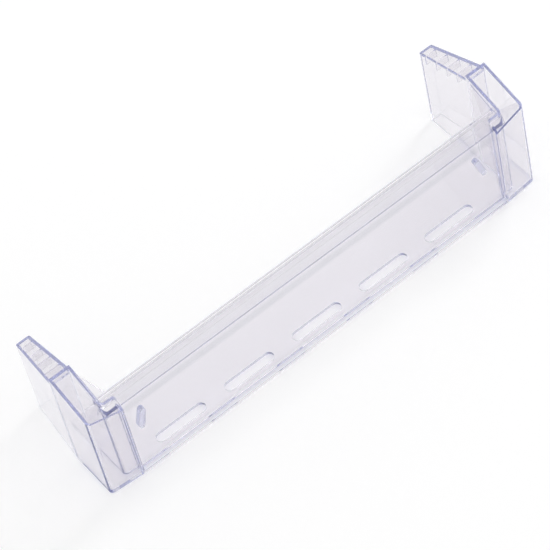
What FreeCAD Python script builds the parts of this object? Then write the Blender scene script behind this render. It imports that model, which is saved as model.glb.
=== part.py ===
"""Fridge door shelf, one clear injection moulding. Millimetres, +Z up, X along the shelf, front at -Y.
The origin is on the surface that the shelf stands on, at the middle of its footprint."""
import FreeCAD, Part
import os
from FreeCAD import Vector

# Overall sizes of the moulding
overall_width = 440.0
overall_depth = 112.6
wall = 2.4
overrun = 1.0

# Tray: floor, front panel and its turned-back rim
floor_depth = 80.0
floor_thickness = 2.6
floor_kerb_height = 4.0
floor_kerb_width = 2.2
cheek_width = 11.5
panel_recess = 4.2
panel_height = 95.0
panel_lean = 3.0
rim_depth = 14.0
rim_height = 10.5
rim_rise = 1.5
rim_lip = 7.0
rim_front_run = 4.0
rim_corner = 2.0
corner_web_width = 9.0
corner_web_drop = 3.0

# Drain slots along the front of the floor
slot_count = 5
slot_pitch = 69.7
slot_length = 49.0
slot_width = 9.4
slot_setback = 18.0

# End blocks with their open pockets
block_width = 20.0
block_depth = 49.6
front_sweep = 2.6
block_front_height = 96.5
block_peak_height = 111.0
block_corner_radius = 4.0

# Sloping facet at the top of a block's front, and the step beside the panel
facet_front_height = 89.6
facet_back_height = 98.5
facet_depth = 9.2
step_depth = 10.6
step_corner_radius = 2.0

# Arms behind the blocks
arm_front_height = 105.5
arm_back_height = 86.0
arm_outer_taper = 6.8
arm_corner_radius = 1.6
arm_rib_count = 4
arm_rib_pitch = 14.0
arm_rib_thickness = 1.4
arm_rib_drop = 8.0
arm_rib_inset = 8.0

# Slanted stubs behind the panel
stub_length = 21.0
stub_width = 5.0
stub_depth = 4.0
stub_inset = 15.5
stub_centre_height = 54.0
stub_slant_deg = 16.0

half_width = overall_width / 2
half_tray = half_width - block_width
half_panel = half_tray - cheek_width
above = block_peak_height + wall
y_front = -overall_depth / 2
same_point = 1e-6


def place(y):
    """Turn a distance behind the front face into a Y coordinate."""
    return y_front + y


def side_prism(outline, x_low, x_high):
    """Extrude an outline of (distance behind the front, height) along X."""
    corners = [Vector(x_low, place(y), z) for y, z in outline]
    face = Part.Face(Part.makePolygon(corners + corners[:1]))
    return face.extrude(Vector(x_high - x_low, 0, 0))


def plan_prism(outline, z_low, z_high):
    """Extrude an outline of (x, distance behind the front) upwards."""
    corners = [Vector(x, place(y), z_low) for x, y in outline]
    face = Part.Face(Part.makePolygon(corners + corners[:1]))
    return face.extrude(Vector(0, 0, z_high - z_low))


def upright_edges(shape, corners):
    """Pick the vertical edges of a prism that stand at the named plan corners."""
    wanted = []
    for edge in shape.Edges:
        start, end = edge.Vertexes[0].Point, edge.Vertexes[-1].Point
        if abs(start.x - end.x) > same_point or abs(start.y - end.y) > same_point:
            continue
        for x, y in corners:
            if abs(start.x - x) < same_point and abs(start.y - place(y)) < same_point:
                wanted.append(edge)
    return wanted


def lean_at(height):
    """Distance that the leaning panel has moved back at a height."""
    return panel_lean * height / panel_height


def sweep_at(x):
    """Distance that the front has moved back at a place beyond the panel."""
    return front_sweep * (x - half_panel) / (half_width - half_panel)


def slab_over(points, drop=0.0):
    """Thick slab that covers everything above the plane through three points, lowered by a drop."""
    first, second, third = [Vector(x, place(y), z) for x, y, z in points]
    normal = (second - first).cross(third - first).normalize()
    if normal.z < 0:
        normal = -normal
    size = 2 * overall_width
    slab = Part.makeBox(size, size, above, Vector(-size / 2, -size / 2, 0))
    turn = FreeCAD.Rotation(Vector(0, 0, 1), normal)
    slab.Placement = FreeCAD.Placement(first - normal * drop, turn)
    return slab


def top_slab():
    """Everything above the sloping top of a block."""
    return slab_over(
        [
            (0, front_sweep, block_front_height),
            (half_width, front_sweep, block_front_height),
            (0, block_depth, block_peak_height),
        ]
    )


def facet_slab(drop=0.0):
    """Everything above the facet, which is widest beside the panel and ends at the outer corner."""
    return slab_over(
        [
            (half_width, front_sweep, block_front_height),
            (half_panel, 0, facet_front_height),
            (half_panel, facet_depth, facet_back_height),
        ],
        drop,
    )


def arm_height(y):
    """Height of an arm's sloping top edge at a distance behind the front."""
    share = (y - block_depth) / (overall_depth - block_depth)
    return arm_front_height + share * (arm_back_height - arm_front_height)


def arm_outer(y):
    """Outer face of an arm at a distance behind the front."""
    share = (y - block_depth) / (overall_depth - block_depth)
    return half_width - arm_outer_taper * share


def make_end():
    """Right-hand end: block with its cheek and pocket, and the hollow arm behind it."""
    plan = plan_prism(
        [
            (half_panel, 0),
            (half_width, front_sweep),
            (half_width, block_depth),
            (arm_outer(overall_depth), overall_depth),
            (half_tray, overall_depth),
            (half_tray, step_depth),
            (half_panel, step_depth),
        ],
        0,
        above,
    )
    plan = plan.makeFillet(block_corner_radius, upright_edges(plan, [(half_width, front_sweep)]))
    back_corners = [(arm_outer(overall_depth), overall_depth), (half_tray, overall_depth)]
    plan = plan.makeFillet(arm_corner_radius, upright_edges(plan, back_corners))
    step_corners = [(half_tray, step_depth), (half_panel, step_depth)]
    plan = plan.makeFillet(step_corner_radius, upright_edges(plan, step_corners))
    far = overall_depth + overrun
    over_arm = side_prism(
        [
            (block_depth, arm_front_height),
            (far, arm_height(far)),
            (far, 2 * above),
            (block_depth, 2 * above),
        ],
        half_panel,
        half_width,
    )
    body = plan.cut(over_arm).cut(top_slab()).cut(facet_slab())
    body = body.cut(make_pocket())
    return body.cut(make_arm_hollow())


def make_pocket():
    """Space inside a block and its cheek, open at the top behind the facet."""
    cheek_left = half_panel + wall
    left = half_tray + wall
    right = half_width - wall
    corner = (right, sweep_at(right) + wall)
    plan = plan_prism(
        [
            (cheek_left, sweep_at(cheek_left) + wall),
            corner,
            (right, block_depth - wall),
            (left, block_depth - wall),
            (left, step_depth - wall),
            (cheek_left, step_depth - wall),
        ],
        floor_thickness,
        2 * above,
    )
    plan = plan.makeFillet(block_corner_radius - wall, upright_edges(plan, [corner]))
    turn = upright_edges(plan, [(left, step_depth - wall)])
    plan = plan.makeFillet(step_corner_radius + wall, turn)
    return plan.cut(facet_slab(wall))


def make_arm_hollow():
    """Space inside an arm, open at the bottom, with short ribs left standing under its top."""
    y_end = overall_depth - wall
    side = side_prism(
        [
            (block_depth, -overrun),
            (block_depth, arm_height(block_depth) - wall),
            (y_end, arm_height(y_end) - wall),
            (y_end, -overrun),
        ],
        half_tray,
        half_width,
    )
    plan = plan_prism(
        [
            (half_tray + wall, block_depth),
            (half_width - wall, block_depth),
            (arm_outer(y_end) - wall, y_end),
            (half_tray + wall, y_end),
        ],
        -overrun,
        above,
    )
    hollow = side.common(plan)
    for i in range(arm_rib_count):
        y = overall_depth - arm_rib_inset - i * arm_rib_pitch
        low = arm_height(y) - wall - arm_rib_drop
        rib = side_prism(
            [
                (y - arm_rib_thickness / 2, low),
                (y - arm_rib_thickness / 2, above),
                (y + arm_rib_thickness / 2, above),
                (y + arm_rib_thickness / 2, low),
            ],
            half_tray,
            half_width,
        )
        hollow = hollow.cut(rib)
    return hollow


def make_panel():
    """Leaning front panel, up to the foot of its rim."""
    foot = panel_height - rim_height
    return side_prism(
        [
            (panel_recess, 0),
            (panel_recess + lean_at(foot), foot + wall),
            (panel_recess + lean_at(foot) + wall, foot + wall),
            (panel_recess + wall, 0),
        ],
        -half_panel - wall,
        half_panel + wall,
    )


def make_rim():
    """Rim that turns back from the top of the panel and ends in a lip."""
    foot = panel_height - rim_height
    front = panel_recess + lean_at(foot)
    back = front + rim_depth
    high = panel_height + rim_rise
    outer = [
        (front, foot),
        (front, foot + rim_corner),
        (front + rim_front_run, panel_height),
        (back - rim_corner, high),
        (back, high - rim_corner),
        (back, high - rim_lip),
    ]
    inner = [
        (back - wall, high - rim_lip),
        (back - wall, high - rim_corner - wall / 2),
        (back - wall - rim_corner / 2, high - wall),
        (front + rim_front_run + wall / 2, panel_height - wall),
        (front + wall, foot + rim_corner - wall / 2),
        (front + wall, foot),
    ]
    return side_prism(outer + inner, -half_tray - wall, half_tray + wall)


def make_corner_web():
    """Sloping web that fills the corner between the rim and the right-hand block."""
    back = panel_recess + lean_at(panel_height - rim_height) + rim_depth
    start = back - wall
    high = panel_height + rim_rise
    rise = (block_peak_height - corner_web_drop - high) / (block_depth - back)
    web = plan_prism(
        [
            (half_tray - corner_web_width, start),
            (half_tray - corner_web_width, back),
            (half_tray + wall / 2, block_depth - wall),
            (half_tray + wall / 2, start),
        ],
        high - 2 * wall,
        block_peak_height,
    )
    near = high - rise * wall
    far = high + rise * (block_depth - back)
    band = side_prism(
        [
            (start, near - wall),
            (start, near),
            (block_depth, far),
            (block_depth, far - wall),
        ],
        half_panel - corner_web_width,
        half_width,
    )
    return web.common(band)


def make_floor():
    """Floor of the tray with its back kerb, before the slots are cut."""
    reach = half_tray + wall
    plate = plan_prism(
        [
            (-half_panel, 0),
            (half_panel, 0),
            (reach, sweep_at(reach)),
            (reach, floor_depth),
            (-reach, floor_depth),
            (-reach, sweep_at(reach)),
        ],
        0,
        floor_thickness,
    )
    kerb = plan_prism(
        [
            (-reach, floor_depth - floor_kerb_width),
            (reach, floor_depth - floor_kerb_width),
            (reach, floor_depth),
            (-reach, floor_depth),
        ],
        0,
        floor_kerb_height,
    )
    return plate.fuse(kerb)


def make_slot(x):
    """Cutter for one round-ended drain slot."""
    radius = slot_width / 2
    reach = slot_length / 2 - radius
    height = floor_thickness + 2 * overrun
    y = place(slot_setback)
    middle = Part.makeBox(2 * reach, slot_width, height, Vector(x - reach, y - radius, -overrun))
    ends = []
    for side in (-1, 1):
        ends.append(Part.makeCylinder(radius, height, Vector(x + side * reach, y, -overrun)))
    return middle.multiFuse(ends)


def make_stub(side):
    """Slanted round-ended stub on the back of the panel."""
    radius = stub_width / 2
    reach = stub_length / 2 - radius
    length = stub_depth + wall
    middle = Part.makeBox(stub_width, length, 2 * reach, Vector(-radius, 0, -reach))
    ends = []
    for end in (-1, 1):
        ends.append(Part.makeCylinder(radius, length, Vector(0, 0, end * reach), Vector(0, 1, 0)))
    stub = middle.multiFuse(ends)
    y = place(panel_recess + lean_at(stub_centre_height) + wall / 2)
    stub.rotate(Vector(0, 0, 0), Vector(0, 1, 0), -side * stub_slant_deg)
    stub.translate(Vector(side * (half_panel - stub_inset), y, stub_centre_height))
    return stub


def make_shelf():
    """Join every wall of the moulding into one solid."""
    right_end = make_end()
    left_end = right_end.mirror(Vector(0, 0, 0), Vector(1, 0, 0))
    web = make_corner_web()
    walls = [left_end, make_panel(), make_rim(), web, web.mirror(Vector(0, 0, 0), Vector(1, 0, 0))]
    walls += [make_floor(), make_stub(-1), make_stub(1)]
    shelf = right_end.multiFuse(walls)
    middle = (slot_count - 1) / 2
    slots = [make_slot((i - middle) * slot_pitch) for i in range(slot_count)]
    shelf = shelf.cut(slots[0].multiFuse(slots[1:]))
    return shelf.removeSplitter()


os.makedirs("parts", exist_ok=True)
shelf = make_shelf()
print("solids", len(shelf.Solids), "valid", shelf.isValid(), "volume", round(shelf.Volume), shelf.BoundBox)
shelf.Solids[0].exportStep("parts/door_shelf.step")
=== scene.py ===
import bpy
import math
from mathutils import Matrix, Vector

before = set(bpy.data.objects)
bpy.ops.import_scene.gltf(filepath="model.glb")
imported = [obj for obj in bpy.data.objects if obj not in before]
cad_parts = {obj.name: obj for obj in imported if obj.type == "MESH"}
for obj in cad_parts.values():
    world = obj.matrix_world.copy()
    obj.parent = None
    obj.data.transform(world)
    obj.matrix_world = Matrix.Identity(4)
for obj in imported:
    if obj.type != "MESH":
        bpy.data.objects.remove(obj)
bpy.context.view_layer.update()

# The shelf
# One clear injection moulding with a faint lilac tint, taken to be styrene acrylonitrile. Its thin walls are
# nearly colourless face on and blue-violet along their edges, with rounded arrises and a slight ripple.

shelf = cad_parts["door_shelf"]
scene = bpy.context.scene

# Light is caught many times between the clear walls, and goes black if it is dropped early. Without a blur
# on its bounces, the white under the walls keeps its brightness.
light_bounces = 256
scene.cycles.max_bounces = light_bounces
scene.cycles.transmission_bounces = light_bounces
scene.cycles.glossy_bounces = light_bounces
scene.cycles.blur_glossy = 0.0


class Wire:
    """A socket of a node tree, on which ordinary sums are written."""

    def __init__(self, tree, socket):
        self.tree = tree
        self.socket = socket

    def node(self, kind, settings=None, sockets=None, out=0):
        """Adds a node of a kind, makes its settings, then fills or links its sockets."""
        made = self.tree.nodes.new(kind)
        for name, value in (settings or {}).items():
            setattr(made, name, value)
        for name, value in (sockets or {}).items():
            if isinstance(value, Wire):
                self.tree.links.new(value.socket, made.inputs[name])
            else:
                made.inputs[name].default_value = value
        return Wire(self.tree, made.outputs[out] if len(made.outputs) else None)

    def sum_node(self, operation, first, second):
        return self.node("ShaderNodeMath", {"operation": operation}, {0: first, 1: second})

    def __add__(self, other):
        return self.sum_node("ADD", self, other)

    def __radd__(self, other):
        return self.sum_node("ADD", other, self)

    def __sub__(self, other):
        return self.sum_node("SUBTRACT", self, other)

    def __rsub__(self, other):
        return self.sum_node("SUBTRACT", other, self)

    def __mul__(self, other):
        return self.sum_node("MULTIPLY", self, other)

    def __rmul__(self, other):
        return self.sum_node("MULTIPLY", other, self)

    def __lt__(self, other):
        return self.sum_node("LESS_THAN", self, other)

    def __gt__(self, other):
        return self.sum_node("GREATER_THAN", self, other)

    def __abs__(self):
        return self.node("ShaderNodeMath", {"operation": "ABSOLUTE"}, {0: self})


def new_material(name):
    """An empty node material, and the wire that its nodes grow from."""
    material = bpy.data.materials.new(name)
    material.use_nodes = True
    material.node_tree.nodes.clear()
    return material, Wire(material.node_tree, None)


def mixed(share, first, second):
    """A colour between two colours. A Mix node has its colours at sockets 6 and 7, and the result at 2."""
    settings = {"data_type": "RGBA", "clamp_factor": True}
    return share.node("ShaderNodeMix", settings, {0: share, 6: first, 7: second}, 2)


clear, start = new_material("clear_plastic_tinted")
place = start.node("ShaderNodeTexCoord", out="Object")
flow = start.node("ShaderNodeTexNoise", None, {"Vector": place, "Scale": 14.0, "Detail": 1.0})
grain = start.node("ShaderNodeTexNoise", None, {"Vector": place, "Scale": 900.0, "Detail": 2.0})
haze = start.node("ShaderNodeTexNoise", None, {"Vector": place, "Scale": 60.0, "Detail": 3.0})
across = start.node("ShaderNodeSeparateXYZ", None, {"Vector": place}, "X")
behind = start.node("ShaderNodeSeparateXYZ", None, {"Vector": place}, "Y")
height = start.node("ShaderNodeSeparateXYZ", None, {"Vector": place}, "Z")

# Painted shade: the rim, the fold below it and the two stubs get a deeper colour by their place, standing in
# for the shade the clear plastic shows there.
panel_end = 0.1880
rim_foot = 0.0850
rim_back = -0.0350
on_panel = abs(across) < panel_end
painted_rim_shade = on_panel * (height > rim_foot) * (behind < rim_back)

# The fold's painted shade is full within about 2 mm of its middle and gone about 6 mm from it.
fold_middle = 0.0785
fold_back = -0.0440
fold_strength = 1.5
fold_fade = 260.0
painted_fold_shade = on_panel * (behind < fold_back) * (fold_strength - abs(height - fold_middle) * fold_fade)

# Where the two stubs' painted shade lies.
stub_across = 0.1730
stub_height = 0.0540
stub_reach_across = 0.0080
stub_reach_up = 0.0140
stub_front = -0.0470
stub_back = -0.0420
beside = abs(abs(across) - stub_across) < stub_reach_across
level_with = abs(height - stub_height) < stub_reach_up
painted_stub_shade = beside * level_with * (behind > stub_front) * (behind < stub_back)

wall_pale = (0.936, 0.926, 0.941, 1.0)
wall_deep = (0.928, 0.918, 0.935, 1.0)
# The next two colours are painted shade for the band at the rim and the darker fold under it, not the
# plastic's own tint.
painted_rim_shade_colour = (0.895, 0.888, 0.905, 1.0)
painted_fold_shade_colour = (0.83, 0.83, 0.85, 1.0)
# This colour is painted shade for the dark stubs, not the plastic's own tint.
painted_stub_shade_colour = (0.62, 0.64, 0.82, 1.0)
tint_and_painted_shade = mixed(haze, wall_pale, wall_deep)
# These three mixes lay the painted shade over the plastic's tint.
tint_and_painted_shade = mixed(painted_rim_shade, tint_and_painted_shade, painted_rim_shade_colour)
tint_and_painted_shade = mixed(painted_fold_shade, tint_and_painted_shade, painted_fold_shade_colour)
tint_and_painted_shade = mixed(painted_stub_shade, tint_and_painted_shade, painted_stub_shade_colour)

grain_share = 0.002
relief = flow + grain * grain_share
bumps = start.node("ShaderNodeBump", None, {"Height": relief, "Strength": 0.10, "Distance": 0.002}, "Normal")
polish = 0.015
haze_share = 0.03
surface = start.node(
    "ShaderNodeBsdfPrincipled",
    None,
    {
        "Base Color": tint_and_painted_shade,
        "Roughness": polish + haze * haze_share,
        "IOR": 1.57,
        "Transmission Weight": 1.0,
        "Normal": bumps,
    },
)
edge_colour = (0.48, 0.52, 0.78, 1.0)
tint = start.node("ShaderNodeVolumeAbsorption", None, {"Color": edge_colour, "Density": 8.5})
start.node("ShaderNodeOutputMaterial", None, {"Surface": surface, "Volume": tint})
for slot in shelf.material_slots:
    slot.material = clear

weld = shelf.modifiers.new("weld", "WELD")
weld.merge_threshold = 0.000002
flat = shelf.modifiers.new("flat", "DECIMATE")
flat.decimate_type = "DISSOLVE"
flat.angle_limit = math.radians(0.6)
arris = shelf.modifiers.new("arris", "BEVEL")
arris.width = 0.0009
arris.segments = 3
arris.limit_method = "ANGLE"
arris.angle_limit = math.radians(6)
arris.harden_normals = True
weighted = shelf.modifiers.new("weighted", "WEIGHTED_NORMAL")
weighted.keep_sharp = False

# The table and the light
# A matt white paper on a table top that fills the frame, in an even white room with one soft lamp.
# It keeps the shelf's faint shadow, and glows a little to both the eye and the clear plastic.

table_reach = 4.0
table_level = -0.0003
corners = [(-1, -1), (1, -1), (1, 1), (-1, 1)]
points = [(x * table_reach, y * table_reach, table_level) for x, y in corners]
table_mesh = bpy.data.meshes.new("table")
table_mesh.from_pydata(points, [], [(0, 1, 2, 3)])
table = bpy.data.objects.new("table", table_mesh)
scene.collection.objects.link(table)

white = (1.0, 1.0, 1.0, 1.0)
paper_white = (0.90, 0.90, 0.90, 1.0)
paper_glow = 0.154
paper, start = new_material("white_paper")
camera_ray = start.node("ShaderNodeLightPath", out="Is Camera Ray")
glossy_ray = start.node("ShaderNodeLightPath", out="Is Glossy Ray")
clear_ray = start.node("ShaderNodeLightPath", out="Is Transmission Ray")
rays = camera_ray + glossy_ray + clear_ray
seen = start.node("ShaderNodeMath", {"operation": "MINIMUM"}, {0: rays, 1: 1.0})
matt = start.node("ShaderNodeBsdfDiffuse", None, {"Color": paper_white})
glow = start.node("ShaderNodeEmission", None, {"Color": white, "Strength": seen * paper_glow})
both = start.node("ShaderNodeAddShader", None, {0: matt, 1: glow})
start.node("ShaderNodeOutputMaterial", None, {"Surface": both})
table_mesh.materials.append(paper)

world = bpy.data.worlds.new("soft_room")
scene.world = world
world.use_nodes = True
world.node_tree.nodes.clear()
start = Wire(world.node_tree, None)
room = start.node("ShaderNodeBackground", None, {"Color": white, "Strength": 0.87})
start.node("ShaderNodeOutputWorld", None, {"Surface": room})

lamp_place = Vector((2.0, 0.5, 1.9))
lamp_target = Vector((0.0, 0.0, 0.05))
soft_box = bpy.data.lights.new("key", "AREA")
soft_box.shape = "SQUARE"
soft_box.size = 0.6
soft_box.energy = 9.0
lamp = bpy.data.objects.new("key", soft_box)
lamp.location = lamp_place
lamp.rotation_euler = (lamp_target - lamp_place).to_track_quat("-Z", "Y").to_euler()
scene.collection.objects.link(lamp)

# The camera
# A long lens, a little over two metres up and off to the left of the shelf, as in the photograph. It is
# turned about its own line of sight, because the shelf lies aslant in the picture.

camera_degrees = (36.1461, 8.8312, -38.2199)
lens = bpy.data.cameras.new("camera")
lens.sensor_width = 36.0
lens.lens = 214.12
camera = bpy.data.objects.new("camera", lens)
camera.location = (-0.70981, -1.42074, 2.13182)
camera.rotation_euler = [math.radians(angle) for angle in camera_degrees]
scene.collection.objects.link(camera)
scene.camera = camera
scene.view_settings.view_transform = "Standard"
